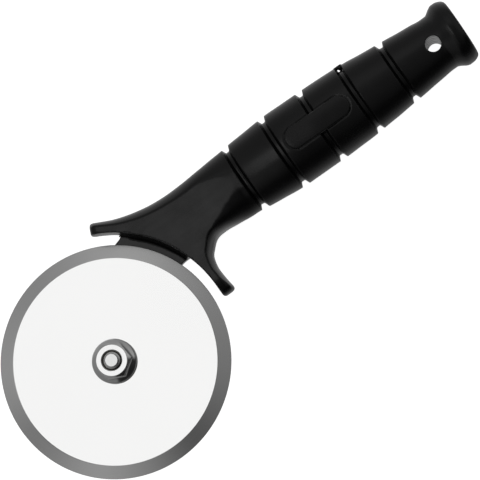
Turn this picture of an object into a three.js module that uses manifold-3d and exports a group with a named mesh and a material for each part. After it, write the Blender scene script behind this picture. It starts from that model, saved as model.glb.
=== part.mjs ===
// A pizza knife: a steel cutting wheel that spins on a bolt at the end of a
// moulded handle. Millimetres, +Z up. The knife lies on its back: +Z is the
// wheel's axis, towards the nut, and +X runs along the handle to its butt.
// The origin is on the wheel's axis, in the back face of the bolt's head.
import * as THREE from "three";
import { mergeVertices } from "three/addons/utils/BufferGeometryUtils.js";
import Module from "manifold-3d";

const wasm = await Module();
wasm.setup();

// ---- driving dimensions ------------------------------------------------
const MID_Z = 11.6; // handle's middle plane, and the cutting edge's plane
const GAP = 0.1; // between clamped flat faces
const SLOT_GAP = 0.3; // round the arm inside the handle

// wheel
const WHEEL_R = 45;
const WHEEL_T = 1.3;
const BEVEL_R = 39.95; // inner radius of the ground bevel
const EDGE_T = 0.16; // land left at the rim
const WHEEL_BORE_R = 7.2;

// axle
const BOLT_R = 4.0; // plain shank
const THREAD_R = 3.35; // inside the nut, at the root of the thread
const BOLT_HEAD_AF = 13;
const BOLT_HEAD_H = 5.2;
const BOLT_TIP_Z = 20.1;
const BOLT_TIP_R = 2.42;
const SLEEVE_R = 5.5;
const SLEEVE_BORE_R = 4.2;
const BUSH_R = 7.05;
const BUSH_BORE_R = 5.6;
const BACK_WASHER_T = 0.8;
const BACK_WASHER_R = 10;
const FRONT_WASHER_T = 0.5;
const FRONT_WASHER_R = 8.5;
const WASHER_BORE_R = 5.7;
const NUT_AF = 13;
const NUT_H = 6.06;
const NUT_FLANGE_R = 8.63;
const NUT_FLANGE_T = 1.0;
const NUT_BORE_R = 3.5;
const NUT_SINK_R = 4.15; // countersink in the top face
const NUT_ANGLE = (5 * Math.PI) / 180;

// arm
const ARM_T = 5.0;
const ARM_BOSS_R = 14;
const ARM_BORE_R = 4.3;
const ARM_Y0 = 16.3; // tongue's two edges
const ARM_Y1 = 38.9;
const ARM_ROOT_X = 55; // end of the wide part, inside the handle
const TANG_W = 13;
const TANG_END_X = 118;

// handle
const AXIS_Y = 28.5; // handle's own axis
const FLATNESS = 0.763; // thickness of the grip against its width
const END_X = 181.6;
const GROOVE_X = [81.3, 99.0, 116.6, 134.4, 152.3];
const GROOVE_HALF_W = 1.55;
const GROOVE_FLOOR_HALF_W = 0.85;
const GROOVE_DEPTH = 2.0;
const GUARD_R = 49.05; // inner arc of the guard
const GUARD_FRONT = 8.0; // front face of the guard, above the middle plane
const GUARD_BACK = 8.0;
const FRONT_RISE = 0.035; // slope of the flat front along the neck
const UPPER_PRONG_BACK = 4.2; // back of the upper prong, below the middle plane
const LOWER_PRONG_THIN_Y = 7.2; // from here to its tip the lower prong thins
const LOWER_PRONG_BACK_SLOPE = 0.7;
const LOWER_PRONG_FRONT_SLOPE = 0.45;
const LOWER_PRONG_FRONT_Y = 1.8;
const NECK_FLATNESS = 0.74; // thickness of the neck against its width
const PAD_X = 116.0;
const PAD_L = 28.6;
const PAD_W = 8.8;
const PAD_TOP = 12.5; // above the middle plane
const HANG_X = 169.0;
const HANG_Y = 27.9;
const HANG_R = 3.15;

// half width of the grip along the handle, before the grooves
const GRIP_PROFILE = [
  [62, 11.2], [68, 12.3], [74, 13.4], [79, 14.0], [84, 14.4], [90, 14.95],
  [97, 15.5], [102, 15.7], [108, 15.65], [114, 15.65], [120, 15.5],
  [127, 15.25], [132, 15.0], [138, 14.6], [144, 14.0], [149.5, 13.5],
  [156, 12.9], [163, 12.15], [168, 11.7], [172, 11.45], [174, 12.2],
  [175.6, 13.3], [177.2, 13.7], [179.2, 13.5], [180.6, 12.8], [181.3, 12.0],
  [181.6, 11.2],
];

// ---- helpers -------------------------------------------------------------
function clean(geometry) {
  const g = geometry.index ? geometry.toNonIndexed() : geometry.clone();
  for (const name of Object.keys(g.attributes)) {
    if (name !== "position") g.deleteAttribute(name);
  }
  return mergeVertices(g, 1e-4);
}

function solid(geometry) {
  const g = clean(geometry);
  const mesh = new wasm.Mesh({
    numProp: 3,
    vertProperties: new Float32Array(g.attributes.position.array),
    triVerts: new Uint32Array(g.index.array),
  });
  return new wasm.Manifold(mesh);
}

function geometryOf(manifold) {
  const mesh = manifold.getMesh();
  const g = new THREE.BufferGeometry();
  g.setAttribute(
    "position",
    new THREE.BufferAttribute(new Float32Array(mesh.vertProperties), 3),
  );
  g.setIndex(new THREE.BufferAttribute(new Uint32Array(mesh.triVerts), 1));
  g.computeVertexNormals();
  return g;
}

// a body of revolution about Z from [radius, z] points
function revolve(points, segments, turn = 0) {
  const g = new THREE.LatheGeometry(
    points.map(([r, z]) => new THREE.Vector2(r, z)),
    segments,
  );
  g.rotateX(Math.PI / 2);
  g.rotateZ(turn);
  return g;
}

// a ring about Z with a rectangular section
function ring(r0, r1, z0, z1, segments) {
  return revolve([[r0, z0], [r1, z0], [r1, z1], [r0, z1], [r0, z0]], segments);
}

function disc(r, z0, z1, segments, turn = 0) {
  return revolve([[0, z0], [r, z0], [r, z1], [0, z1]], segments, turn);
}

function box(x0, x1, y0, y1, z0, z1) {
  const g = new THREE.BoxGeometry(x1 - x0, y1 - y0, z1 - z0);
  g.translate((x0 + x1) / 2, (y0 + y1) / 2, (z0 + z1) / 2);
  return g;
}

function plate(points, z0, z1) {
  const shape = new THREE.Shape(points.map(([x, y]) => new THREE.Vector2(x, y)));
  const g = new THREE.ExtrudeGeometry(shape, {
    depth: z1 - z0,
    bevelEnabled: false,
    curveSegments: 4,
  });
  g.translate(0, 0, z0);
  return g;
}

function along(points, count) {
  const curve = new THREE.SplineCurve(
    points.map(([x, y]) => new THREE.Vector2(x, y)),
  );
  return curve.getPoints(count).map((p) => [p.x, p.y]);
}

const group = new THREE.Group();
group.name = "pizza_knife";

function add(name, geometry, color, roughness, metalness) {
  const mesh = new THREE.Mesh(
    geometry,
    new THREE.MeshStandardMaterial({ color, roughness, metalness }),
  );
  mesh.name = name;
  group.add(mesh);
}

// ---- levels along the axle -------------------------------------------------
const wheelBack = MID_Z - EDGE_T;
const wheelFront = wheelBack + WHEEL_T;
const backWasherTop = wheelBack - 2 * GAP;
const backWasherBottom = backWasherTop - BACK_WASHER_T;
const armFront = backWasherBottom - GAP;
const armBack = armFront - ARM_T;
const frontWasherBottom = wheelFront + GAP;
const frontWasherTop = frontWasherBottom + FRONT_WASHER_T;
const nutBottom = frontWasherTop + GAP;
const nutTop = nutBottom + NUT_H;

// ---- cutting wheel: flat back, bevel ground on the front --------------------
add(
  "blade_wheel",
  clean(
    revolve(
      [
        [WHEEL_BORE_R, wheelBack],
        [WHEEL_R, wheelBack],
        [WHEEL_R, wheelBack + EDGE_T],
        [BEVEL_R, wheelFront],
        [WHEEL_BORE_R, wheelFront],
        [WHEEL_BORE_R, wheelBack],
      ],
      96,
    ),
  ),
  0xdcdcdc, 0.12, 1.0,
);

// ---- bearing bush, pressed into the wheel -----------------------------------
add(
  "wheel_bushing",
  clean(ring(BUSH_BORE_R, BUSH_R, wheelBack, wheelFront, 48)),
  0xb08d4a, 0.4, 1.0,
);

// ---- spacer sleeve, clamped between the arm and the nut ----------------------
add(
  "axle_sleeve",
  clean(ring(SLEEVE_BORE_R, SLEEVE_R, armFront + GAP, nutBottom - GAP, 48)),
  0xa8a8a8, 0.35, 1.0,
);

// ---- thrust washers ------------------------------------------------------------
add(
  "back_washer",
  clean(ring(WASHER_BORE_R, BACK_WASHER_R, backWasherBottom, backWasherTop, 48)),
  0xe8e4da, 0.5, 0.0,
);
add(
  "front_washer",
  clean(ring(WASHER_BORE_R, FRONT_WASHER_R, frontWasherBottom, frontWasherTop, 48)),
  0xe8e4da, 0.5, 0.0,
);

// ---- axle bolt: hexagon head behind the arm, chamfered end in the nut ------------
const headCorner = BOLT_HEAD_AF / Math.sqrt(3);
const headTop = BOLT_HEAD_H;
const head = solid(disc(headCorner, 0, headTop, 6, Math.PI / 6)).intersect(
  solid(
    revolve(
      [[0, 0], [6.2, 0], [headCorner + 0.1, 0.85], [headCorner + 0.1, headTop], [0, headTop]],
      48,
    ),
  ),
);
const shank = solid(
  revolve(
    [
      [0, headTop - 1],
      [BOLT_R, headTop - 1],
      [BOLT_R, nutBottom - 0.9],
      [THREAD_R, nutBottom - 0.4],
      [THREAD_R, BOLT_TIP_Z - 0.93],
      [BOLT_TIP_R, BOLT_TIP_Z],
      [0, BOLT_TIP_Z],
    ],
    32,
  ),
);
add("axle_bolt", geometryOf(head.add(shank)), 0xc4c4c4, 0.3, 1.0);

// ---- flange nut -----------------------------------------------------------------
const nutCorner = NUT_AF / Math.sqrt(3);
const nutHex = solid(
  disc(nutCorner, nutBottom + 0.4, nutTop, 6, NUT_ANGLE),
).intersect(
  solid(
    revolve(
      [
        [0, nutBottom],
        [nutCorner + 0.2, nutBottom],
        [nutCorner + 0.2, nutTop - 0.9],
        [6.05, nutTop],
        [0, nutTop],
      ],
      48,
    ),
  ),
);
const nutFlange = solid(
  revolve(
    [
      [0, nutBottom],
      [NUT_FLANGE_R, nutBottom],
      [NUT_FLANGE_R, nutBottom + NUT_FLANGE_T],
      [6.4, nutBottom + NUT_FLANGE_T + 1.5],
      [0, nutBottom + NUT_FLANGE_T + 1.5],
    ],
    48,
  ),
);
const nutBore = solid(
  revolve(
    [
      [0, nutBottom - 1],
      [NUT_BORE_R, nutBottom - 1],
      [NUT_BORE_R, nutTop - (NUT_SINK_R - NUT_BORE_R)],
      [NUT_SINK_R + 1, nutTop + 1],
      [0, nutTop + 1],
    ],
    32,
  ),
);
add(
  "flange_nut",
  geometryOf(nutHex.add(nutFlange).subtract(nutBore)),
  0xd0d0d0, 0.2, 1.0,
);

// ---- axle arm: a cranked plate from the handle to the axle ------------------------
function armOutline(grow) {
  const points = [];
  points.push([ARM_ROOT_X + grow, ARM_Y0 - grow]);
  points.push([ARM_ROOT_X + grow, ARM_Y1 + grow]);
  points.push([29, ARM_Y1 - 0.25 + grow]);
  points.push([25.9, ARM_Y1 - 0.9 + grow]);
  points.push([21, ARM_Y1 - 2.9 + grow]);
  points.push([16, ARM_Y1 - 6.7 + grow]);
  // boss round the axle, from its left side to its lower right side
  const from = (158 * Math.PI) / 180;
  const to = (302 * Math.PI) / 180;
  for (let i = 0; i <= 18; i += 1) {
    const a = from + ((to - from) * i) / 18;
    points.push([
      (ARM_BOSS_R + grow) * Math.cos(a),
      (ARM_BOSS_R + grow) * Math.sin(a),
    ]);
  }
  points.push([33, ARM_Y0 - 5.5 - grow]);
  points.push([38, ARM_Y0 - 1.8 - grow]);
  points.push([43, ARM_Y0 - grow]);
  return points.reverse();
}
function tang(grow) {
  return box(
    ARM_ROOT_X - 2, TANG_END_X + grow,
    AXIS_Y - TANG_W / 2 - grow, AXIS_Y + TANG_W / 2 + grow,
    armBack - grow, armFront + grow,
  );
}
const arm = solid(plate(armOutline(0), armBack, armFront))
  .add(solid(tang(0)))
  .subtract(solid(disc(ARM_BORE_R, armBack - 1, armFront + 1, 32)));
add("axle_arm", geometryOf(arm), 0x343434, 0.45, 0.0);

// ---- handle ----------------------------------------------------------------------
// half width at x, read from the profile
function halfWidth(x) {
  let i = 1;
  while (i < GRIP_PROFILE.length - 1 && GRIP_PROFILE[i][0] < x) i += 1;
  const [x0, a0] = GRIP_PROFILE[i - 1];
  const [x1, a1] = GRIP_PROFILE[i];
  return a0 + ((a1 - a0) * (x - x0)) / (x1 - x0);
}
const gripPoints = [[0, GRIP_PROFILE[0][0]]];
const stations = GRIP_PROFILE.map(([x]) => x).filter((x) =>
  GROOVE_X.every((g) => Math.abs(x - g) > GROOVE_HALF_W + 0.4),
);
for (const g of GROOVE_X) {
  stations.push(g - GROOVE_HALF_W, g - GROOVE_FLOOR_HALF_W);
  stations.push(g + GROOVE_FLOOR_HALF_W, g + GROOVE_HALF_W);
}
stations.sort((p, q) => p - q);
for (const x of stations) {
  const floor = GROOVE_X.some((g) => Math.abs(x - g) < GROOVE_HALF_W - 0.2);
  gripPoints.push([halfWidth(x) - (floor ? GROOVE_DEPTH : 0), x]);
}
gripPoints.push([0, END_X]);
const gripGeometry = revolve(gripPoints, 40);
gripGeometry.rotateY(Math.PI / 2); // axis from Z to X
gripGeometry.scale(1, 1, FLATNESS);
gripGeometry.translate(0, AXIS_Y, MID_Z);
const grip = solid(gripGeometry);

// neck and two-pronged guard, as one plate
const upperEdge = along(
  [
    [83, 42.6], [79.4, 42.4], [69.4, 41.7], [60, 41.3], [50.5, 41.5],
    [40, 42.9], [30.3, 45.5], [22.3, 49.2],
  ],
  16,
);
const lowerEdge = along(
  [
    [53.7, -4.2], [53.2, 0.9], [52.9, 6.5], [54.4, 11.5], [58.1, 15.0],
    [62.7, 16.5], [69.7, 16.4], [79.4, 15.7], [83, 15.5],
  ],
  18,
);
const arc = [];
const arcFrom = Math.atan2(44.6, 20.8);
const arcTo = Math.atan2(-4.1, 49.0);
for (let i = 0; i <= 22; i += 1) {
  const a = arcFrom + ((arcTo - arcFrom) * i) / 22;
  arc.push([GUARD_R * Math.cos(a), GUARD_R * Math.sin(a)]);
}
const guardGeometry = plate(
  [...upperEdge, ...arc, ...lowerEdge],
  MID_Z - GUARD_BACK,
  MID_Z + GUARD_FRONT + 3,
);
// the neck rounds over towards the first groove
const neckGeometry = revolve(
  [[0, 15], [60, 15], [60, 54.6], [24, 56], [17.2, 61], [15.2, 68], [14.5, 76], [14.2, 84], [0, 84]],
  40,
);
neckGeometry.rotateY(Math.PI / 2);
neckGeometry.scale(1, 1, NECK_FLATNESS);
neckGeometry.translate(0, AXIS_Y, MID_Z);
const guard = solid(guardGeometry).intersect(solid(neckGeometry));

// the flat front of the neck: everything above a gently rising plane goes
const frontCut = new THREE.BoxGeometry(90, 90, 20);
frontCut.translate(0, 0, 10);
frontCut.rotateY(-Math.atan(FRONT_RISE));
frontCut.translate(34.6, 25, MID_Z + GUARD_FRONT - 0.35);
const rearOfFirstGroove = box(0, GROOVE_X[0], -20, 70, 0, 40);

// label pad, left bare: a raised stadium along the axis
const padPoints = [];
for (const [cx, from] of [[PAD_X + (PAD_L - PAD_W) / 2, -90], [PAD_X - (PAD_L - PAD_W) / 2, 90]]) {
  for (let i = 0; i <= 8; i += 1) {
    const a = ((from + (180 * i) / 8) * Math.PI) / 180;
    padPoints.push([
      cx + (PAD_W / 2) * Math.cos(a),
      AXIS_Y + 0.1 + (PAD_W / 2) * Math.sin(a),
    ]);
  }
}
const pad = solid(plate(padPoints, MID_Z + 8.6, MID_Z + PAD_TOP));

// small moulded bridge over the fourth groove, on the upper edge
const bridge = solid(box(132.0, 136.8, 42.3, 44.1, MID_Z - 1.4, MID_Z + 1.4));

// both prongs are thinner than the neck: a section in [y, z], drawn out along X
function acrossX(points, x0, x1) {
  const g = plate(points, x0, x1);
  g.applyMatrix4(
    new THREE.Matrix4().set(0, 0, 1, 0, 1, 0, 0, 0, 0, 1, 0, 0, 0, 0, 0, 1),
  );
  return solid(g);
}
const tipY = -8;
const lowerBack = MID_Z - GUARD_BACK - 0.6;
const lowerFront = MID_Z + GUARD_FRONT + 0.25;
const lowerProngBack = acrossX(
  [
    [LOWER_PRONG_THIN_Y, lowerBack],
    [tipY, lowerBack + LOWER_PRONG_BACK_SLOPE * (LOWER_PRONG_THIN_Y - tipY)],
    [tipY, lowerBack - 3],
    [LOWER_PRONG_THIN_Y, lowerBack - 3],
  ],
  40, 60,
);
const lowerProngFront = acrossX(
  [
    [LOWER_PRONG_FRONT_Y, lowerFront],
    [LOWER_PRONG_FRONT_Y, lowerFront + 5],
    [tipY, lowerFront + 5],
    [tipY, lowerFront - LOWER_PRONG_FRONT_SLOPE * (LOWER_PRONG_FRONT_Y - tipY)],
  ],
  40, 60,
);
const upperProngBack = solid(
  plate(
    [[33.5, 41.0], [36.5, 46.0], [30, 50], [18, 52], [14, 43.5], [21.5, 42.6], [27.5, 41.0]],
    -1,
    MID_Z - UPPER_PRONG_BACK,
  ),
);

const handle = grip
  .add(guard)
  .subtract(lowerProngBack)
  .subtract(lowerProngFront)
  .subtract(upperProngBack)
  .subtract(solid(frontCut).intersect(solid(rearOfFirstGroove)))
  .add(pad)
  .add(bridge)
  .subtract(solid(box(40, 200, -20, 80, -10, 0)))
  .subtract(
    (() => {
      const g = disc(HANG_R, -5, 40, 24);
      g.translate(HANG_X, HANG_Y, 0);
      return solid(g);
    })(),
  )
  .subtract(
    solid(plate(armOutline(SLOT_GAP), armBack - SLOT_GAP, armFront + SLOT_GAP)).add(
      solid(tang(SLOT_GAP)),
    ),
  );
add("handle_grip", geometryOf(handle), 0x161616, 0.38, 0.0);

export default group;
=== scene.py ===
"""Looks for the pizza knife: steel wheel, nut and bolt, arm, moulded handle.

The frame is in metres. Shapes below are worked out in millimetres in the same
frame and scaled once, when a mesh is made.
"""

import math

import bpy
import numpy as np
from mathutils import Matrix


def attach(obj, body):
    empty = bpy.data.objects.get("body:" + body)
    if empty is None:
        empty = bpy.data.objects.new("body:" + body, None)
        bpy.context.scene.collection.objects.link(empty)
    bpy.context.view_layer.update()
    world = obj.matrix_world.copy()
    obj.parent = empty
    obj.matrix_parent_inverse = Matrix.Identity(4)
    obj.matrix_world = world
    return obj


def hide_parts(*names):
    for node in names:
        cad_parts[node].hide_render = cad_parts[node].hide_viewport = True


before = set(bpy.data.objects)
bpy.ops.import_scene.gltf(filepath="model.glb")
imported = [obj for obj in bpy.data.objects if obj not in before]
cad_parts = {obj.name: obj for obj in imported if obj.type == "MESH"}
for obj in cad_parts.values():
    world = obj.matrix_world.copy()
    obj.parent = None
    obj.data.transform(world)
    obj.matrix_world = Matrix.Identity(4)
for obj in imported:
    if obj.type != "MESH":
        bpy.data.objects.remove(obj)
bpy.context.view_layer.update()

MM = 0.001
MID = 11.6          # middle plane of the handle, and the cutting edge's plane
TURN = math.radians(34.3)   # the handle's direction in the picture


# ---------------------------------------------------------------- small tools
def pchip(points):
    """Smooth curve through (x, y) points that doesn't overshoot them."""
    xs = np.array([p[0] for p in points], float)
    ys = np.array([p[1] for p in points], float)
    h = np.diff(xs)
    d = np.diff(ys) / h
    m = np.zeros(len(xs))
    m[0], m[-1] = d[0], d[-1]
    for i in range(1, len(xs) - 1):
        if d[i - 1] * d[i] > 0:
            w1, w2 = 2 * h[i] + h[i - 1], h[i] + 2 * h[i - 1]
            m[i] = (w1 + w2) / (w1 / d[i - 1] + w2 / d[i])

    def curve(x):
        x = np.clip(x, xs[0], xs[-1])
        i = np.clip(np.searchsorted(xs, x) - 1, 0, len(xs) - 2)
        t = (x - xs[i]) / h[i]
        return (
            ys[i] * (1 + 2 * t) * (1 - t) ** 2
            + m[i] * h[i] * t * (1 - t) ** 2
            + ys[i + 1] * t * t * (3 - 2 * t)
            + m[i + 1] * h[i] * t * t * (t - 1)
        )

    return curve


def catmull(points, step):
    """Points about `step` apart on a smooth open curve through `points`."""
    p = np.array(points, float)
    p = np.vstack([2 * p[0] - p[1], p, 2 * p[-1] - p[-2]])
    out = []
    for i in range(1, len(p) - 2):
        a, b, c, d = p[i - 1], p[i], p[i + 1], p[i + 2]
        n = max(2, int(np.linalg.norm(c - b) / step))
        t = np.linspace(0, 1, n, endpoint=False)[:, None]
        out.append(
            0.5
            * (
                2 * b
                + (c - a) * t
                + (2 * a - 5 * b + 4 * c - d) * t * t
                + (3 * b - a - 3 * c + d) * t ** 3
            )
        )
    out.append(p[-2][None])
    return np.vstack(out)


def smoothstep(t):
    t = np.clip(t, 0.0, 1.0)
    return t * t * (3 - 2 * t)


def smax(a, b, k):
    """Larger of two distances, with the edge between them rounded over k."""
    h = np.clip(0.5 + 0.5 * (a - b) / k, 0, 1)
    return b + (a - b) * h + k * h * (1 - h)


def smin(a, b, k):
    return -smax(-a, -b, k)


def outline_distance(poly, x, y):
    """Signed distance to a closed outline, negative inside."""
    x, y = np.broadcast_arrays(np.asarray(x, float), np.asarray(y, float))
    shape = x.shape
    x, y = x.ravel(), y.ravel()
    best = np.full(x.shape, 1e9)
    inside = np.zeros(x.shape, bool)
    n = len(poly)
    for i in range(n):
        ax, ay = poly[i]
        bx, by = poly[(i + 1) % n]
        ex, ey = bx - ax, by - ay
        wx, wy = x - ax, y - ay
        t = np.clip((wx * ex + wy * ey) / (ex * ex + ey * ey), 0, 1)
        best = np.minimum(best, (wx - t * ex) ** 2 + (wy - t * ey) ** 2)
        cross = (ay <= y) != (by <= y)
        if ey != 0:
            inside ^= cross & (x < ax + (y - ay) * ex / ey)
    d = np.sqrt(best)
    return np.where(inside, -d, d).reshape(shape)


def mesh_object(name, verts_mm, faces, smooth_angle=None, normals=None):
    mesh = bpy.data.meshes.new(name)
    verts = np.asarray(verts_mm, float) * MM
    mesh.from_pydata(verts.tolist(), [], [list(map(int, f)) for f in faces])
    mesh.validate()
    mesh.update()
    obj = bpy.data.objects.new(name, mesh)
    bpy.context.scene.collection.objects.link(obj)
    mesh.shade_smooth()
    if smooth_angle is not None:
        mesh.set_sharp_from_angle(angle=math.radians(smooth_angle))
    if normals is not None:
        # each face corner faces the way the surface does, and creases stay crisp
        at = np.empty(len(mesh.loops), np.int32)
        mesh.loops.foreach_get("vertex_index", at)
        total = np.empty(len(mesh.polygons), np.int32)
        mesh.polygons.foreach_get("loop_total", total)
        flat = np.empty(3 * len(mesh.polygons), np.float32)
        mesh.polygon_normals.foreach_get("vector", flat)
        flat = np.repeat(flat.reshape(-1, 3), total, axis=0)
        corner = normals[at]
        corner = np.where((corner * flat).sum(1, keepdims=True) < 0.8, flat, corner)
        mesh.normals_split_custom_set(corner.tolist())
    return obj


def ruler(lo, hi, coarse, fine=0.0, spots=(), spread=0.0):
    """Grid positions from lo to hi, closer together round each spot."""
    out = [lo]
    while out[-1] < hi:
        close = min((abs(out[-1] - s) for s in spots), default=1e9)
        out.append(out[-1] + (fine if close < spread else coarse))
    return np.array(out)


def skin(field, axes):
    """Closed quad mesh on field == 0, its points then pulled onto it."""
    f = field(axes[0][:, None, None], axes[1][None, :, None], axes[2][None, None, :])
    f = np.ascontiguousarray(np.broadcast_to(f, [len(a) for a in axes]))
    neg = f < 0
    count = np.zeros([n - 1 for n in f.shape], np.int8)
    corners = [(i, j, k) for i in (0, 1) for j in (0, 1) for k in (0, 1)]

    def part(a, c):
        return a[
            c[0] : a.shape[0] - 1 + c[0],
            c[1] : a.shape[1] - 1 + c[1],
            c[2] : a.shape[2] - 1 + c[2],
        ]

    for c in corners:
        count += part(neg, c)
    active = (count > 0) & (count < 8)
    cells = np.argwhere(active)
    index = np.full(active.shape, -1, np.int64)
    index[active] = np.arange(len(cells))
    total = np.zeros((len(cells), 3))
    hits = np.zeros(len(cells))
    values = {c: part(f, c)[active] for c in corners}
    for c in corners:
        for axis in range(3):
            if c[axis]:
                continue
            e = list(c)
            e[axis] = 1
            e = tuple(e)
            fa, fb = values[c], values[e]
            cross = (fa < 0) != (fb < 0)
            t = np.where(cross, fa / np.where(fa == fb, 1, fa - fb), 0)
            p = np.zeros((len(cells), 3)) + np.array(c, float)
            p[:, axis] += t
            total[cross] += p[cross]
            hits += cross
    share = total / hits[:, None]
    verts = np.stack(
        [a[cells[:, i]] + share[:, i] * np.diff(a)[cells[:, i]] for i, a in enumerate(axes)], 1
    )

    quads = []
    for axis in range(3):
        u, v = [a for a in range(3) if a != axis]
        if axis == 1:
            u, v = v, u
        here = [slice(1, -1)] * 3
        here[axis] = slice(0, -1)
        there = [slice(1, -1)] * 3
        there[axis] = slice(1, None)
        a, b = neg[tuple(here)], neg[tuple(there)]
        for sign in (True, False):
            where = np.argwhere((a != b) & (a == sign))
            where = where + np.array([0 if i == axis else 1 for i in range(3)])
            ring = []
            for du, dv in ((-1, -1), (0, -1), (0, 0), (-1, 0)):
                cell = where.copy()
                cell[:, u] += du
                cell[:, v] += dv
                ring.append(index[cell[:, 0], cell[:, 1], cell[:, 2]])
            ring = np.stack(ring if sign else ring[::-1], 1)
            quads.append(ring)
    faces = np.vstack(quads)

    # even the net out along the surface, then pull each point onto it
    def slope(p, e=0.02):
        g = np.zeros_like(p)
        for i in range(3):
            q = p.copy()
            q[:, i] += e
            r = p.copy()
            r[:, i] -= e
            g[:, i] = (field(*q.T) - field(*r.T)) / (2 * e)
        return g

    for round_no in range(3):
        if round_no < 2:
            centre = np.zeros_like(verts)
            degree = np.zeros(len(verts))
            for i in range(4):
                for j in (1, 3):
                    np.add.at(centre, faces[:, i], verts[faces[:, (i + j) % 4]])
                    np.add.at(degree, faces[:, i], 1)
            g = slope(verts)
            g /= np.maximum(np.linalg.norm(g, axis=1, keepdims=True), 1e-9)
            move = 0.5 * (centre / degree[:, None] - verts)
            move -= g * (move * g).sum(1, keepdims=True)
            verts = verts + move
        for _ in range(2):
            g = slope(verts)
            n2 = np.maximum((g * g).sum(1), 1e-6)
            pull = (field(*verts.T) / n2)[:, None] * g
            size = np.linalg.norm(pull, axis=1, keepdims=True)
            pull *= np.minimum(1.0, 0.3 / np.maximum(size, 1e-9))
            verts = verts - pull
    g = slope(verts)
    return verts, faces, g / np.maximum(np.linalg.norm(g, axis=1, keepdims=True), 1e-9)


# ------------------------------------------------------------------- handle
GROOVES = [81.3, 99.0, 116.65, 134.45, 152.25]
GROOVE_MOUTH = 1.6
GROOVE_FLOOR = 0.72
GROOVE_DEPTH = 2.0
END_X = 181.6
GUARD_R = 49.02
FLAT_Z = 8.0        # flat front of the guard, above the middle plane
FLAT_RISE = 0.035

half_width = pchip([
    (60, 12.1), (65, 12.575), (69.5, 13.035), (74.5, 13.62), (79.4, 13.91),
    (84, 14.47), (90, 14.95), (96, 15.47), (102, 15.7), (108, 15.65),
    (113, 15.62), (119, 15.58), (125, 15.41), (130, 15.25), (138, 14.65),
    (144, 14.07), (149, 13.57), (156, 12.94), (161, 12.38), (166, 11.93),
    (170, 11.5), (172, 11.5), (173, 11.74), (174, 12.37), (175.4, 13.24),
    (176.8, 13.72), (178.5, 13.66), (180.2, 13.1), (181.2, 12.48), (182.5, 11.2),
])
axis_y = pchip([
    (60, 29.1), (65, 29.225), (69.5, 29.155), (74.5, 29.06), (79.4, 29.13),
    (84, 29.03), (90, 28.9), (96, 28.79), (102, 28.84), (108, 28.77),
    (113, 28.72), (119, 28.64), (125, 28.65), (130, 28.6), (138, 28.6),
    (144, 28.44), (149, 28.45), (156, 28.38), (161, 28.35), (166, 28.38),
    (170, 28.31), (172, 28.31), (173, 28.16), (175.4, 28.2), (177, 28.36), (183, 28.46),
])
half_depth = pchip([
    (20, 10.0), (55, 10.0), (62, 10.0), (66, 9.9), (68, 9.8), (72, 9.6), (79, 9.18),
    (83, 9.75), (90, 10.5), (97, 11.15), (104, 11.45), (112, 11.45),
    (120, 11.25), (128, 10.95), (136, 10.55), (144, 10.1), (152, 9.7),
    (160, 9.3), (166, 9.03), (168.8, 8.94), (170.4, 8.98), (172, 9.15),
    (173.5, 9.52), (174.9, 10.02), (176.3, 10.44), (177.7, 10.66), (179.2, 10.62),
    (181, 10.1), (182.5, 9.3),
])
squareness = pchip([(20, 2.6), (60, 2.6), (66, 2.45), (73, 2.2), (80, 2.05), (90, 2.1), (182, 2.1)])
lower_squareness = pchip([
    (20, 0), (48, 0), (56, 0.14), (58, 0.38), (60, 0.64), (62, 0.74), (64, 0.75), (66, 0.58), (68, 0.38),
    (70, 0.09), (72, -0.115), (74, -0.185), (77, -0.15), (80, 0), (182, 0),
])
lower_depth = pchip([
    (20, 0), (54, 0), (56, -0.04), (58, 0.08), (60, 0.34), (62, -0.08), (64, -0.34), (66, -0.36), (68, -0.39),
    (70, -0.31), (72, -0.155), (74, -0.17), (76, -0.15), (79, 0), (182, 0),
])
upper_squareness = pchip([(20, 0), (26, 0), (35, -0.18), (40, -0.3), (58, -0.3), (66, 0), (182, 0)])

UPPER_EDGE = [
    (84, 43.3), (79.4, 43.05), (74, 42.65), (69.4, 42.2), (65, 41.75),
    (60, 41.48), (55, 41.28), (50.5, 41.35), (45, 41.82), (40, 42.72),
    (35, 43.93), (30.3, 45.49), (26.1, 47.42), (22.3, 49.32), (19.0, 50.95),
]
LOWER_EDGE = [
    (54.35, -8.0), (54.1, -4.4), (53.95, -2.7), (53.45, 0.85), (53.17, 4.0), (53.12, 7.2),
    (54.1, 11.5), (56.1, 13.85), (58.3, 15.85), (60.2, 16.68), (62.7, 16.92),
    (66.0, 17.0), (69.6, 16.4), (79.4, 15.25), (84, 14.75),
]
GUARD_OUTLINE = np.vstack([
    catmull(UPPER_EDGE, 0.6),
    [(16.5, 46.5), (14.2, 32.0), (35.0, -8.0), (46.0, -8.0)],
    catmull(LOWER_EDGE, 0.6),
])
LEFT_TIP = (21.0, 47.0)
LEFT_END = (-0.918, 0.397)      # which way the upper prong's end faces
RIGHT_TIP = (51.3, -4.1)
RIGHT_END = -4.45

# the arm: one plate that carries the axle and runs into the handle
ARM_FRONT = -1.26   # above the middle plane
ARM_BACK = -6.26
ARM_Y0, ARM_Y1 = 16.3, 38.9


def arm_outline():
    boss = [
        (14 * math.cos(math.radians(a)), 14 * math.sin(math.radians(a)))
        for a in np.linspace(158, 302, 60)
    ]
    lower = catmull([(7.42, -11.87), (20, -3.0), (33, 10.7), (38, 14.4), (43, 16.3), (50, 16.3)], 0.8)
    upper = catmull([(50, 38.9), (38, 39.0), (32, 39.4), (30, 39.5), (28.8, 39.2), (27.9, 38.55), (26.6, 38.05), (24.9, 37.6), (20.75, 36.0), (15.9, 32.0), (4, 20.5), (-12.98, 5.24)], 0.8)
    return np.vstack([upper[:-1], boss[:-1], lower, [(55, ARM_Y0), (55, 22.0), (118, 22.0), (118, 35.0), (55, 35.0), (55, ARM_Y1)]])


ARM_OUTLINE = arm_outline()


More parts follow.
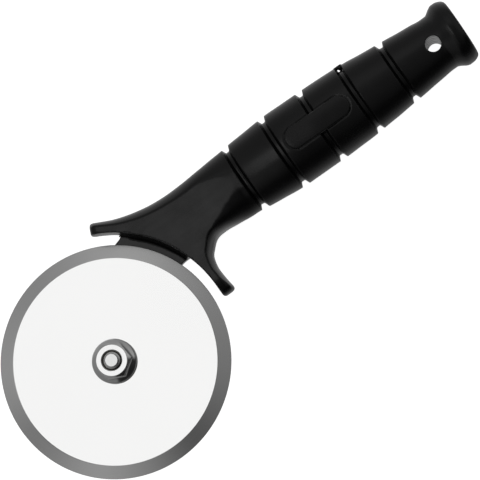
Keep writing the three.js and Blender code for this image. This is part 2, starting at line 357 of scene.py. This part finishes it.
def groove_cut(x, y, zr):
    """Depth of the grooves, which lean a little at the front and across."""
    x = x - 0.012 * (y - 29.0) + 0.025 * (zr + np.sqrt(zr * zr + 4.0))
    g = 0.0 * x
    for gx in GROOVES:
        wall = GROOVE_DEPTH * (GROOVE_MOUTH - np.abs(x - gx)) / (GROOVE_MOUTH - GROOVE_FLOOR)
        g = g + smin(smax(wall, 0.0 * wall, 0.25), GROOVE_DEPTH + 0.0 * wall, 0.5)
    return g


def handle_field(x, y, z):
    x, y, z = np.asarray(x, float), np.asarray(y, float), np.asarray(z, float)
    zr = z - MID
    a, yc, b, n = half_width(x), axis_y(x), half_depth(x), squareness(x)

    # how far out across the handle: 0 on its spine, 1 on its outline
    u_grip = np.abs(y - yc) / a
    mix = smoothstep((x - 58.0) / 12.0)
    from_left = np.hypot(x - LEFT_TIP[0], y - LEFT_TIP[1])
    from_right = np.hypot(x - RIGHT_TIP[0], y - RIGHT_TIP[1])
    reach = smin(
        9.3 + 0.25 * from_left,
        3.5 + 0.09 * from_right + 1.2 * smoothstep((from_right - 14.0) / 5.0)
        + np.maximum(3.6 * smoothstep((from_right - 26.0) / 4.5), 5.0 * smoothstep((x - 54.8) / 6.5)),
        1.0,
    )
    reach = np.minimum(reach, 12.4)
    low, high = smoothstep((29.0 - y) / 6.0), smoothstep((y - 31.0) / 4.0)
    n = n + lower_squareness(x) * low + upper_squareness(x) * high
    b = b + lower_depth(x) * low
    n = n - np.where(zr > 0, 0.36, 0.2) * smoothstep((12.5 - y) / 4.0)
    near = np.broadcast_to(x < 73, np.broadcast_shapes(x.shape, y.shape))
    d2 = np.full(near.shape, -50.0)
    if near.any():
        xx, yy = np.broadcast_to(x, near.shape), np.broadcast_to(y, near.shape)
        d2[near] = outline_distance(GUARD_OUTLINE, xx[near], yy[near])
    u_guard = np.maximum(0.0, 1.0 + d2 / reach)
    u = u_guard + (u_grip - u_guard) * mix
    width = reach + (a - reach) * mix

    v = np.abs(zr) / b
    rho = np.maximum((u ** n + v ** n) ** (1.0 / n), 1e-4)
    grad = np.sqrt(
        ((u / rho) ** (n - 1) / width) ** 2 + ((v / rho) ** (n - 1) / b) ** 2
    )
    f = (rho - 1.0) / np.maximum(grad, 0.03)

    # flat front and back of the neck and guard, up to the first groove; the
    # lower prong's end slopes down in front, and both prongs thin out behind
    plane = FLAT_Z + FLAT_RISE * (x - 44.6) - 0.0085 * (x - 66.0 + np.sqrt((x - 66.0) ** 2 + 9.0))
    t = 0.7 - y
    front = plane - 0.225 * (t + np.sqrt(t * t + 3.0))
    t = 6.5 - y
    rear = plane - 0.35 * (t + np.sqrt(t * t + 2.0))
    rear = rear - 3.9 * smoothstep((19.0 - from_left) / 8.0) * smoothstep((y - 38.3) / 3.2)
    neck = x < GROOVES[0] - 0.3
    f = smax(f, zr - np.where(neck, front, 100.0), 0.35 + 0.8 * smoothstep((2.0 - y) / 3.0))
    f = smax(f, -zr - np.where(neck, rear, 100.0), 0.9)

    # rounded ends of the two prongs
    f = smax(f, RIGHT_END - y, 2.4)
    out = (x - LEFT_TIP[0]) * LEFT_END[0] + (y - LEFT_TIP[1]) * LEFT_END[1]
    f = smax(f, (out + 0.75 - 0.26 * (7.4 - zr)) / 1.033, 2.2)
    f = smax(f, out - 0.85, 1.2)

    # the grooves run right round
    f = f + groove_cut(x, y, zr)

    # flat end of the butt
    f = smax(f, x - END_X - 0.05 - 0.026 * (y - 27.0), 1.0)

    # raised bare pad on the front
    px = np.maximum(np.abs(x - 116.05) - 9.8, 0.0)
    pad_side = np.hypot(px, y - 28.62) - 4.4
    f = f + np.where(zr > 4.0, 0.2 * np.exp(-((pad_side - 0.15) / 0.32) ** 2), 0.0)
    pad_top = zr - (b + 0.42 - 0.017 * (y - 28.62) ** 2)
    pad = smax(smax(pad_side, pad_top, 0.5), 4.0 - zr, 0.1)
    f = smin(f, pad, 0.1)

    # small bridge over the fourth groove, on the upper edge
    bx = x - np.clip(x, 133.0, 135.6)
    bar = np.sqrt(bx ** 2 + (y - 43.15) ** 2 + (0.75 * (zr - 1.0)) ** 2) - 0.72
    knob = np.sqrt((x - 135.05) ** 2 + (y - 42.5) ** 2 + (0.6 * (zr - 1.0)) ** 2) - 0.85
    f = smin(f, smin(bar, knob, 0.4), 0.3)

    # room for the wheel
    r = np.hypot(x, y)
    draft = 0.03 * np.abs(zr - 3.0) - 0.13
    corner = 0.7 * smoothstep((24.5 - x) / 2.5) + 1.1 * smoothstep((-0.5 - y) / 2.5)
    f = smax(f, GUARD_R + draft - r, 0.35 + 1.2 * smoothstep((1.0 - zr) / 4.0) + corner)

    # hollow corner where the arm comes out of the guard
    foot = 46.9 + 1.2 * smoothstep((y - 34.5) / 4.0)
    t = np.clip((r - foot) / (GUARD_R - foot), 0, 1)
    rim = FLAT_Z + FLAT_RISE * (x - 44.6) - 0.3
    hollow = rim - (rim - (ARM_FRONT + 0.75)) * np.sqrt(1 - t ** 2)
    cove = np.maximum.reduce(np.broadcast_arrays(
        0.35 * (zr - hollow), foot - r, r - (GUARD_R + 0.6),
        ARM_Y0 - 0.1 - y, y - ARM_Y1 - 0.4, ARM_FRONT + 0.25 - zr, x - 52.0,
    ))
    f = np.minimum(f, cove)

    # pocket for the arm
    close = np.broadcast_to(x < 122, np.broadcast_shapes(x.shape, y.shape))
    da = np.full(close.shape, 50.0)
    if close.any():
        xx, yy = np.broadcast_to(x, close.shape), np.broadcast_to(y, close.shape)
        da[close] = outline_distance(ARM_OUTLINE, xx[close], yy[close])
    slot = np.maximum(da - 0.25, np.maximum(zr - ARM_FRONT, ARM_BACK - zr) - 0.25)
    f = np.maximum(f, -slot)

    # hang hole, with two faint steps in its wall
    bore = 3.12 + 0.055 * np.sin(zr * 1.9 + 0.6)
    f = smax(f, bore - np.hypot(x - 169.03, y - 27.86), 0.35)
    return f


def arm_field(x, y, z):
    x, y, z = np.asarray(x, float), np.asarray(y, float), np.asarray(z, float)
    zr = z - MID
    # its sides lean in a little towards the back, as a moulding's do
    d = outline_distance(ARM_OUTLINE, x, y) + 0.09 * np.maximum(0.0, ARM_FRONT - zr)
    half = (ARM_FRONT - ARM_BACK) / 2
    e = np.abs(zr - (ARM_FRONT + ARM_BACK) / 2) - half
    r = 0.4
    q0, q1 = d + r, e + r
    f = np.minimum(np.maximum(q0, q1), 0) + np.hypot(np.maximum(q0, 0), np.maximum(q1, 0)) - r
    return smax(f, 4.3 - np.hypot(x, y), 0.3)


CELL = 0.485
verts, faces, normals = skin(handle_field, [
    ruler(18.0, 183.2, CELL * 1.15, CELL * 0.55, GROOVES, 2.6),
    ruler(-6.5, 52.0, CELL),
    ruler(-1.6, 25.5, CELL),
])
handle = mesh_object("handle_moulding", verts, faces, None, normals)
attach(handle, "handle")
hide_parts("handle_grip")

verts, faces, normals = skin(arm_field, [ruler(-16.0, 119.6, 0.6), ruler(-16.0, 41.0, 0.6), ruler(3.6, 12.0, 0.42)])
arm = mesh_object("arm_plate", verts, faces, None, normals)
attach(arm, "handle")
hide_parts("axle_arm")


# -------------------------------------------------- turned and hexagon pieces
def lathe(profile, turns, radius_at=None):
    """Closed loops of points about Z. profile(theta) gives (r, z) points."""
    angles = np.arange(turns) * 2 * math.pi / turns
    rows = np.array([[(r * math.cos(t), r * math.sin(t), z) for r, z in profile(t)] for t in angles])
    count = rows.shape[1]
    verts = rows.reshape(-1, 3)
    faces = []
    for i in range(turns):
        j = (i + 1) % turns
        for k in range(count):
            m = (k + 1) % count
            faces.append((i * count + k, j * count + k, j * count + m, i * count + m))
    return verts, faces


def capped(profile, turns):
    """Like lathe, for a profile that starts and ends on the axis."""
    angles = np.arange(turns) * 2 * math.pi / turns
    rows = [list(profile(t)) for t in angles]
    count = len(rows[0])
    verts = [(0, 0, rows[0][0][1]), (0, 0, rows[0][-1][1])]
    for t, row in zip(angles, rows):
        for r, z in row[1:-1]:
            verts.append((r * math.cos(t), r * math.sin(t), z))
    inner = count - 2
    faces = []
    for i in range(turns):
        j = (i + 1) % turns
        a, b = 2 + i * inner, 2 + j * inner
        faces.append((0, b, a))
        for k in range(inner - 1):
            faces.append((a + k, b + k, b + k + 1, a + k + 1))
        faces.append((1, a + inner - 1, b + inner - 1))
    return verts, faces


def hexagon(t, flat, turn, corner):
    """Distance from the axis to a hexagon with slightly rounded corners."""
    s = (t - turn + math.pi / 6) % (math.pi / 3) - math.pi / 6
    sharp = flat / math.cos(s)
    return min(sharp, corner + 0.12 * (sharp - corner)) if sharp > corner else sharp


# wheel: flat back, ground bevel on the front, fine honed edge
WHEEL_BACK, WHEEL_FRONT = MID - 0.16, MID + 1.14
wheel_section = [
    (7.2, WHEEL_BACK + 0.12), (7.32, WHEEL_BACK), (12, WHEEL_BACK), (25, WHEEL_BACK),
    (38, WHEEL_BACK), (44.0, WHEEL_BACK), (44.82, WHEEL_BACK), (44.95, WHEEL_BACK + 0.03),
    (45.0, WHEEL_BACK + 0.1), (44.97, WHEEL_BACK + 0.16), (44.86, MID + 0.05),
    (44.0, MID + 0.238), (42.5, MID + 0.567), (41.2, MID + 0.852), (40.12, MID + 1.088),
    (40.03, MID + 1.107), (39.94, MID + 1.125), (39.84, MID + 1.137), (39.74, WHEEL_FRONT), (39.4, WHEEL_FRONT),
    (32, WHEEL_FRONT), (22, WHEEL_FRONT), (12, WHEEL_FRONT), (7.32, WHEEL_FRONT), (7.2, WHEEL_FRONT - 0.12),
]
verts, faces = lathe(lambda t: wheel_section, 288)
wheel = mesh_object("wheel_disc", verts, faces, 12)
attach(wheel, "wheel")
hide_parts("blade_wheel")

# thread shared by the bolt and the nut: how far out its crest is, 0 to 1
PITCH = 1.25


def thread(t, z):
    w = (z / PITCH - t / (2 * math.pi)) % 1.0
    return min(1.0, max(0.0, (1.0 - abs(2.0 * w - 1.0) - 0.1) / 0.75))


# flange nut
NUT_BOTTOM, NUT_TOP = 13.44, 19.5


def nut_section(t):
    side = hexagon(t, 6.5, math.radians(5), 7.42)
    foot = NUT_BOTTOM + 1.35 + max(0.0, 8.3 - side) * 0.62
    brow = NUT_TOP - (side - 6.02) * 0.6
    out = [
        (4.1, NUT_BOTTOM + 0.3), (4.45, NUT_BOTTOM), (6.5, NUT_BOTTOM), (8.38, NUT_BOTTOM),
        (8.55, NUT_BOTTOM + 0.06), (8.63, NUT_BOTTOM + 0.22), (8.63, NUT_BOTTOM + 0.85),
        (8.58, NUT_BOTTOM + 1.06), (8.44, NUT_BOTTOM + 1.22),
    ]
    for k in (0.15, 0.35, 0.6, 0.85):
        r = 8.44 + (side - 8.44) * k
        out.append((r, NUT_BOTTOM + 1.22 + (foot - NUT_BOTTOM - 1.22) * k))
    out += [(side + 0.1, foot - 0.02), (side + 0.02, foot + 0.12)]
    for k in (0.15, 0.4, 0.7, 0.95):
        out.append((side, foot + 0.2 + (brow - foot - 0.2) * k))
    out += [
        (side - 0.03, brow + 0.02), (side + (6.02 - side) * 0.5, brow + (NUT_TOP - brow) * 0.5),
        (6.04, NUT_TOP - 0.015), (5.99, NUT_TOP), (5.9, NUT_TOP),
        (5.0, NUT_TOP), (4.27, NUT_TOP), (4.2, NUT_TOP), (4.12, NUT_TOP - 0.008), (4.06, NUT_TOP - 0.04),
        (3.75, NUT_TOP - 0.36), (3.44, NUT_TOP - 0.66), (3.42, NUT_TOP - 0.76),
    ]
    for z in np.linspace(NUT_TOP - 0.95, NUT_BOTTOM + 0.75, 44):
        fade = min(1.0, (NUT_TOP - 0.7 - z) / 0.6, (z - NUT_BOTTOM - 0.4) / 0.5)
        out.append((3.42 + 0.63 * thread(t, z) * fade, z))
    return out


verts, faces = lathe(nut_section, 240)
nut = mesh_object("nut_flanged", verts, faces, 22)
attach(nut, "handle")
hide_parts("flange_nut")

# axle bolt: hexagon head, plain shank, chamfered threaded end
TIP_Z = 20.1


def bolt_section(t):
    # the thread runs out across the chamfer as a shallow, fading groove
    turned = (200.0 - math.degrees(t + TURN)) % 360.0
    start = TIP_Z - 0.1 - turned / 360.0
    fade_out = min(1.0, turned / 25.0, max(0.0, 290.0 - turned) / 60.0)
    side = hexagon(t, 6.5, 0.0 + math.pi / 6, 7.42)
    edge = (side - 6.1) * 0.58
    out = [
        (0, 0.0), (3.2, 0.0), (6.0, 0.0), (6.1, 0.02),
        (6.1 + (side - 6.1) * 0.5, edge * 0.5), (side - 0.03, edge - 0.01),
        (side, edge + 0.04), (side, 2.5), (side, 4.95), (side - 0.05, 5.13),
        (side - 0.2, 5.2), (6.0, 5.2), (4.2, 5.2), (4.0, 5.3), (4.0, 9.0), (4.0, 12.4),
        (3.95, 12.54), (3.36, 12.98),
    ]
    for z in np.linspace(13.2, TIP_Z - 1.4, 50):
        fade = min(1.0, (z - 13.2) / 0.5, (TIP_Z - 1.4 - z) / 0.6)
        out.append((3.3 + 0.63 * thread(t, z) * fade, z))
    out += [(3.31, TIP_Z - 1.1), (3.36, TIP_Z - 0.98)]
    for z in np.linspace(TIP_Z - 0.92, TIP_Z - 0.05, 18):
        dip = 0.34 * fade_out * math.exp(-(((z - start) / 0.15) ** 2))
        out.append((2.47 + (TIP_Z - 0.05 - z) - dip, z))
    out += [(2.43, TIP_Z - 0.012), (2.38, TIP_Z), (2.3, TIP_Z), (1.2, TIP_Z), (0, TIP_Z)]
    return out


verts, faces = capped(bolt_section, 120)
bolt = mesh_object("bolt_axle", verts, faces, 22)
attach(bolt, "handle")
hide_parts("axle_bolt")


# ---------------------------------------------------------------- materials
class Nodes:
    """A material's node tree, with short calls to add to it."""

    def __init__(self, name):
        self.mat = bpy.data.materials.new(name)
        self.mat.use_nodes = True
        self.tree = self.mat.node_tree
        self.shader = self.tree.nodes["Principled BSDF"]
        self.coord = self.tree.nodes.new("ShaderNodeTexCoord").outputs["Object"]

    def set(self, **values):
        for key, value in values.items():
            self.shader.inputs[key.replace("_", " ")].default_value = value

    def link(self, a, b):
        self.tree.links.new(a, b)

    def feed(self, out, name):
        self.link(out, self.shader.inputs[name])

    def scaled(self, sx, sy, sz, source=None):
        m = self.tree.nodes.new("ShaderNodeMapping")
        m.inputs["Scale"].default_value = (sx, sy, sz)
        self.link(source or self.coord, m.inputs["Vector"])
        return m.outputs["Vector"]

    def noise(self, scale, detail=3.0, rough=0.5, source=None):
        n = self.tree.nodes.new("ShaderNodeTexNoise")
        n.inputs["Scale"].default_value = scale
        n.inputs["Detail"].default_value = detail
        n.inputs["Roughness"].default_value = rough
        self.link(source or self.coord, n.inputs["Vector"])
        return n.outputs["Fac"]

    def remap(self, out, a, b, c, d):
        m = self.tree.nodes.new("ShaderNodeMapRange")
        m.inputs["From Min"].default_value = a
        m.inputs["From Max"].default_value = b
        m.inputs["To Min"].default_value = c
        m.inputs["To Max"].default_value = d
        self.link(out, m.inputs["Value"])
        return m.outputs["Result"]

    def math(self, op, a, b=None):
        m = self.tree.nodes.new("ShaderNodeMath")
        m.operation = op
        for i, v in enumerate((a, b)):
            if v is None:
                continue
            if isinstance(v, (int, float)):
                m.inputs[i].default_value = v
            else:
                self.link(v, m.inputs[i])
        return m.outputs[0]

    def mix(self, fac, a, b):
        m = self.tree.nodes.new("ShaderNodeMix")
        m.data_type = "RGBA"
        self.link(fac, m.inputs["Factor"])
        m.inputs["A"].default_value = (*a, 1)
        m.inputs["B"].default_value = (*b, 1)
        return m.outputs["Result"]

    def over(self, fac, under, top):
        """Colour `top` laid over the colour that comes from `under`."""
        m = self.tree.nodes.new("ShaderNodeMix")
        m.data_type = "RGBA"
        self.link(fac, m.inputs["Factor"])
        self.link(under, m.inputs["A"])
        m.inputs["B"].default_value = (*top, 1)
        return m.outputs["Result"]

    def axes(self):
        sep = self.tree.nodes.new("ShaderNodeSeparateXYZ")
        self.link(self.coord, sep.inputs[0])
        return sep.outputs["X"], sep.outputs["Y"], sep.outputs["Z"]

    def radius(self):
        """Distance from the wheel's axis."""
        x, y, _ = self.axes()
        return self.math("SQRT", self.math("ADD", self.math("MULTIPLY", x, x), self.math("MULTIPLY", y, y)))

    def bump(self, height, strength, distance, normal=None):
        b = self.tree.nodes.new("ShaderNodeBump")
        b.inputs["Strength"].default_value = strength
        b.inputs["Distance"].default_value = distance
        self.link(height, b.inputs["Height"])
        if normal is not None:
            self.link(normal, b.inputs["Normal"])
        return b.outputs["Normal"]


def plastic(name, low, high, rough_low, rough_high, polished=None):
    """Moulded plastic; polished(m) says where it is smoother than elsewhere."""
    m = Nodes(name)
    cloud = m.noise(60, 4, 0.55)
    fine = m.noise(900, 2, 0.5)
    grain = m.noise(5200, 2, 0.6)
    streak = m.noise(420, 3, 0.6, m.scaled(0.12, 1.0, 1.0))
    edge = m.tree.nodes.new("ShaderNodeNewGeometry").outputs["Pointiness"]
    worn = m.remap(edge, 0.53, 0.62, 0.0, 1.0)
    tone = m.math("ADD", m.math("MULTIPLY", cloud, 0.7), m.math("MULTIPLY", fine, 0.3))
    tone = m.math("ADD", m.remap(tone, 0.35, 0.65, 0.0, 0.8), m.math("MULTIPLY", worn, 0.5))
    m.feed(m.mix(tone, low, high), "Base Color")
    rub = m.math("ADD", m.math("MULTIPLY", cloud, 0.75), m.math("MULTIPLY", streak, 0.25))
    rough = m.remap(rub, 0.35, 0.65, rough_low, rough_high)
    if polished is not None:
        rough = m.math("MULTIPLY", rough, m.remap(polished(m), 0.0, 1.0, 1.0, 0.3))
    m.feed(rough, "Roughness")
    n = m.bump(grain, 0.12, 0.00003)
    n = m.bump(streak, 0.03, 0.00005, n)
    m.feed(n, "Normal")
    m.set(IOR=1.48)
    return m.mat


def hang_hole(m):
    x, y, _ = m.axes()
    x, y = m.math("SUBTRACT", x, 0.16903), m.math("SUBTRACT", y, 0.02786)
    away = m.math("SQRT", m.math("ADD", m.math("MULTIPLY", x, x), m.math("MULTIPLY", y, y)))
    return m.remap(away, 0.00325, 0.0034, 1.0, 0.0)


handle_mat = plastic("black_moulded_plastic", (0.0028, 0.0028, 0.003), (0.0055, 0.0055, 0.0057), 0.2, 0.29, hang_hole)
arm_mat = plastic("arm_moulded_plastic", (0.044, 0.044, 0.044), (0.06, 0.06, 0.0602), 0.2, 0.29)


def blade_steel():
    m = Nodes("polished_blade_steel")
    x, y, _ = m.axes()
    radius = m.radius()
    turned = m.tree.nodes.new("ShaderNodeCombineXYZ")
    m.link(radius, turned.inputs[0])
    angle = m.math("ARCTAN2", y, x)
    m.link(m.math("MULTIPLY", angle, 0.0006), turned.inputs[1])
    lines = m.noise(9000, 3, 0.6, turned.outputs[0])
    smear = m.noise(45, 4, 0.5)
    ground = m.remap(radius, 0.03995, 0.0401, 0.0, 1.0)
    base = m.remap(smear, 0.35, 0.65, 0.03, 0.05)
    lined = m.math("ADD", base, m.math("MULTIPLY", lines, 0.02))
    bevel = m.math("ADD", 0.17, m.math("MULTIPLY", lines, 0.1))
    rough = m.math("ADD", m.math("MULTIPLY", lined, m.math("SUBTRACT", 1.0, ground)), m.math("MULTIPLY", bevel, ground))
    m.feed(rough, "Roughness")
    m.feed(m.mix(smear, (0.838, 0.838, 0.834), (0.862, 0.862, 0.858)), "Base Color")
    depth = m.math("ADD", m.math("MULTIPLY", ground, 0.9), 0.1)
    m.feed(m.bump(m.math("MULTIPLY", lines, depth), 0.10, 0.00002), "Normal")
    m.set(Metallic=1.0)
    return m.mat


def metal(name, low, high, rough_low, rough_high, scale=700, grain=0.08, painted_shade=None, dents=0.0):
    """Plated or bare metal; painted_shade(m) says where painted shade darkens it and makes it rougher."""
    m = Nodes(name)
    cloud = m.noise(180, 4, 0.6)
    fine = m.noise(scale * 6, 3, 0.6, m.scaled(1, 1, 0.25))
    colour = m.mix(cloud, low, high)
    mixed = m.math("ADD", m.math("MULTIPLY", cloud, 0.6), m.math("MULTIPLY", fine, 0.4))
    rough = m.remap(mixed, 0.35, 0.65, rough_low, rough_high)
    if painted_shade is not None:
        # painted shade: a darker grey laid over the base colour, and more roughness, where the mask marks a recess
        where = painted_shade(m)
        colour = m.over(where, colour, (0.36, 0.35, 0.33))
        rough = m.math("ADD", rough, m.math("MULTIPLY", where, 0.15))
    m.feed(colour, "Base Color")
    m.feed(rough, "Roughness")
    n = m.bump(fine, grain, 0.00003)
    if dents:
        n = m.bump(m.noise(650, 2, 0.5), dents, 0.0001, n)
    m.feed(n, "Normal")
    m.set(Metallic=1.0)
    return m.mat


def nylon():
    m = Nodes("washer_nylon")
    cloud = m.noise(300, 3, 0.5)
    m.feed(m.mix(cloud, (0.62, 0.60, 0.55), (0.72, 0.70, 0.65)), "Base Color")
    m.feed(m.remap(cloud, 0.3, 0.7, 0.42, 0.55), "Roughness")
    m.feed(m.bump(m.noise(4000, 2), 0.1, 0.00003), "Normal")
    return m.mat


steel_mat = blade_steel()


# painted shade in the nut's bore and countersink, within about 4 mm of the axis
def nut_painted_shade(m):
    return m.remap(m.radius(), 0.00395, 0.00415, 1.0, 0.0)


# painted shade on the bolt where it sits inside the nut, from its foot up to just under its top
def bolt_painted_shade(m):
    _, _, z = m.axes()
    return m.math("MULTIPLY", m.remap(z, 0.0125, 0.0135, 0.0, 1.0), m.remap(z, 0.0191, 0.0193, 1.0, 0.0))


# the nut and the bolt both carry painted shade in and round the nut's bore
chrome_mat = metal("plated_nut", (0.80, 0.80, 0.80), (0.88, 0.88, 0.875), 0.07, 0.13, painted_shade=nut_painted_shade, dents=0.25)
bolt_mat = metal("plated_bolt", (0.74, 0.74, 0.735), (0.83, 0.83, 0.82), 0.12, 0.2, painted_shade=bolt_painted_shade)
sleeve_mat = metal("turned_sleeve", (0.70, 0.70, 0.695), (0.80, 0.80, 0.79), 0.2, 0.3)
bronze_mat = metal("bearing_bronze", (0.42, 0.27, 0.10), (0.52, 0.35, 0.15), 0.3, 0.45)
nylon_mat = nylon()


def dress(obj, mat):
    obj.data.materials.clear()
    obj.data.materials.append(mat)


dress(handle, handle_mat)
dress(arm, arm_mat)
dress(wheel, steel_mat)
dress(nut, chrome_mat)
dress(bolt, bolt_mat)
for node, mat in (
    ("wheel_bushing", bronze_mat), ("axle_sleeve", sleeve_mat),
    ("back_washer", nylon_mat), ("front_washer", nylon_mat),
):
    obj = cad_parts[node]
    if len(obj.material_slots):
        for s in obj.material_slots:
            s.material = mat
    else:
        obj.data.materials.append(mat)


# ------------------------------------------------------------ floor and light
floor_mesh = bpy.data.meshes.new("floor")
floor_mesh.from_pydata([(-8, -8, -0.0003), (8, -8, -0.0003), (8, 8, -0.0003), (-8, 8, -0.0003)], [], [(0, 1, 2, 3)])
floor = bpy.data.objects.new("floor", floor_mesh)
bpy.context.scene.collection.objects.link(floor)
floor_mat = bpy.data.materials.new("white_floor")
floor_mat.use_nodes = True
shader = floor_mat.node_tree.nodes["Principled BSDF"]
shader.inputs["Base Color"].default_value = (0.9, 0.9, 0.9, 1)
shader.inputs["Roughness"].default_value = 0.9
shader.inputs["Specular IOR Level"].default_value = 0.1
shader.inputs["Emission Color"].default_value = (1, 1, 1, 1)
shader.inputs["Emission Strength"].default_value = 0.97
floor_mesh.materials.append(floor_mat)
floor.visible_glossy = False

# the softbox's place, as how far it leans from straight up along X and Y, and
# how far it reaches to each side of that
SOFTBOX_LEAN = (-0.1185, 0.165)
SOFTBOX_HALF = (0.0965, 0.185)
SOFTBOX_LIGHT = 0.95
ZENITH = 0.12
NADIR = 0.5
# brightness of the studio: for each height, by bearing from the picture's right
BEARINGS = (5, 24, 75, 105, 145, 178, 205, 235, 264, 280, 300, 328)
STUDIO = [
    (-0.97, (0.16, 0.16, 0.45, 0.62, 0.50, 0.10, 0.40, 0.46, 0.44, 0.44, 0.42, 0.32)),
    (-0.72, (0.46, 0.42, 0.50, 0.72, 0.56, 0.36, 0.35, 0.42, 0.52, 0.58, 0.60, 0.52)),
    (-0.12, (0.20, 0.21, 0.37, 0.55, 0.50, 0.31, 0.28, 0.28, 0.27, 0.28, 0.28, 0.24)),
    (0.08, (0.05, 0.11, 0.25, 0.40, 0.37, 0.25, 0.22, 0.19, 0.17, 0.13, 0.10, 0.07)),
    (0.30, (0.015, 0.09, 0.22, 0.27, 0.26, 0.22, 0.20, 0.16, 0.12, 0.04, 0.03, 0.02)),
    (0.60, (0.02, 0.36, 0.34, 0.25, 0.23, 0.24, 0.26, 0.24, 0.20, 0.015, 0.012, 0.012)),
    (0.92, (0.19, 0.20, 0.27, 0.42, 0.25, 0.37, 0.14, 0.38, 0.25, 0.13, 0.04, 0.125)),
    (0.966, (0.19, 0.20, 0.20, 0.16, 0.12, 0.12, 0.12, 0.16, 0.22, 0.12, 0.04, 0.125)),
]


def panel(name, towards, distance, size, strength):
    """A soft square light that faces the knife; strength is its brightness."""
    d = np.array(towards) / np.linalg.norm(towards)
    light = bpy.data.lights.new(name, "AREA")
    light.shape = "RECTANGLE"
    light.size, light.size_y = size
    # watts for a given radiance of a one-sided panel
    light.energy = strength * math.pi * size[0] * size[1]
    obj = bpy.data.objects.new(name, light)
    bpy.context.scene.collection.objects.link(obj)
    z = d
    x = np.cross((0.0, 1.0, 0.0), z)
    x /= np.linalg.norm(x)
    y = np.cross(z, x)
    obj.matrix_world = Matrix([
        [x[0], y[0], z[0], d[0] * distance],
        [x[1], y[1], z[1], d[1] * distance],
        [x[2], y[2], z[2], d[2] * distance],
        [0, 0, 0, 1],
    ])
    return obj


# one softbox nearly overhead; the studio round it is painted by direction
panel("softbox_over", (*SOFTBOX_LEAN, 1.0), 2.0, [4.0 * h / math.hypot(1.0, *SOFTBOX_LEAN) for h in SOFTBOX_HALF], SOFTBOX_LIGHT)
# a low card for the steel wheel alone, on the studio's dark side
card = panel("card_low", (0.0, -0.85, 0.53), 2.0, (4.4, 1.5), 0.17)
card.visible_camera = False
steel_only = bpy.data.collections.new("steel_only")
steel_only.objects.link(wheel)
card.light_linking.receiver_collection = steel_only

world = bpy.data.worlds.new("studio")
bpy.context.scene.world = world
world.use_nodes = True
tree = world.node_tree
back = tree.nodes["Background"]
coord = tree.nodes.new("ShaderNodeTexCoord")
sep = tree.nodes.new("ShaderNodeSeparateXYZ")
tree.links.new(coord.outputs["Generated"], sep.inputs[0])


def world_math(op, a, b=None):
    m = tree.nodes.new("ShaderNodeMath")
    m.operation = op
    for i, v in enumerate((a, b)):
        if v is None:
            continue
        if isinstance(v, (int, float)):
            m.inputs[i].default_value = v
        else:
            tree.links.new(v, m.inputs[i])
    return m.outputs[0]


def world_span(value, a, b):
    m = tree.nodes.new("ShaderNodeMapRange")
    m.interpolation_type = "SMOOTHSTEP"
    m.inputs["From Min"].default_value = a
    m.inputs["From Max"].default_value = b
    tree.links.new(value, m.inputs["Value"])
    return m.outputs["Result"]


def round_the_room(stops):
    """Brightness by bearing; stops are (degrees from the picture's right, value)."""
    bearing = world_math("ARCTAN2", sep.outputs["Y"], sep.outputs["X"])
    bearing = world_math("ADD", world_math("DIVIDE", bearing, 2 * math.pi), 0.5)
    ramp = tree.nodes.new("ShaderNodeValToRGB")
    ramp.color_ramp.interpolation = "EASE"
    tree.links.new(bearing, ramp.inputs["Fac"])
    turned = sorted(((a - math.degrees(TURN) + 180.0) % 360.0 / 360.0, v) for a, v in stops)
    first, last = turned[0], turned[-1]
    gap = first[0] + 1.0 - last[0]
    seam = last[1] + (first[1] - last[1]) * (1.0 - last[0]) / gap
    turned = [(0.0, seam)] + turned + [(1.0, seam)]
    e = ramp.color_ramp.elements
    while len(e) < len(turned):
        e.new(0.5)
    for item, (at, v) in zip(e, turned):
        item.position = at
    for item, (at, v) in zip(e, turned):
        item.color = (v, v, v, 1)
    return ramp.outputs["Color"]


def world_mix(fac, a, b):
    m = tree.nodes.new("ShaderNodeMix")
    m.data_type = "RGBA"
    tree.links.new(fac, m.inputs["Factor"])
    for name, v in (("A", a), ("B", b)):
        if isinstance(v, (int, float)):
            m.inputs[name].default_value = (v, v, v, 1)
        else:
            tree.links.new(v, m.inputs[name])
    return m.outputs["Result"]


up = sep.outputs["Z"]
sky = NADIR
below = -0.98
for height, values in STUDIO:
    ring = round_the_room(list(zip(BEARINGS, values)))
    sky = world_mix(world_span(up, below, height), sky, ring)
    below = height
sky = world_mix(world_span(up, 0.97, 0.995), sky, ZENITH)
tree.links.new(sky, back.inputs["Color"])

# -------------------------------------------------------------------- camera
def camera():
    dist, sx, sy, f, u0, v0 = 1033.0, 0.187, -0.068, 2742.0, 115.35, 361.65

    def basis(forward):
        z = -np.array(forward)
        x = np.cross((0.0, 1.0, 0.0), z)
        x /= np.linalg.norm(x)
        return np.stack([x, np.cross(z, x), z])

    place = dist * np.array([sx, sy, 1.0])
    look = -place / np.linalg.norm(place)
    seen = np.array([(u0 - 240) / f, -(v0 - 240) / f, -1.0])
    seen /= np.linalg.norm(seen)
    axes = basis(seen).T @ basis(look)
    c, s = math.cos(-TURN), math.sin(-TURN)
    turn = np.array([[c, -s, 0], [s, c, 0], [0, 0, 1]])
    rot = turn @ axes.T
    at = (turn @ place + np.array([0, 0, MID])) * MM
    cam = bpy.data.cameras.new("camera")
    cam.sensor_width = 36.0
    cam.lens = 36.0 * f / 480.0
    cam.clip_start, cam.clip_end = 0.05, 50.0
    obj = bpy.data.objects.new("camera", cam)
    bpy.context.scene.collection.objects.link(obj)
    m = Matrix.Identity(4)
    for i in range(3):
        for j in range(3):
            m[i][j] = rot[i, j]
        m[i][3] = at[i]
    obj.matrix_world = m
    bpy.context.scene.camera = obj


camera()
view = bpy.context.scene.view_settings
view.view_transform = "Standard"
view.look = "None"
view.exposure = 0.0
view.gamma = 1.0
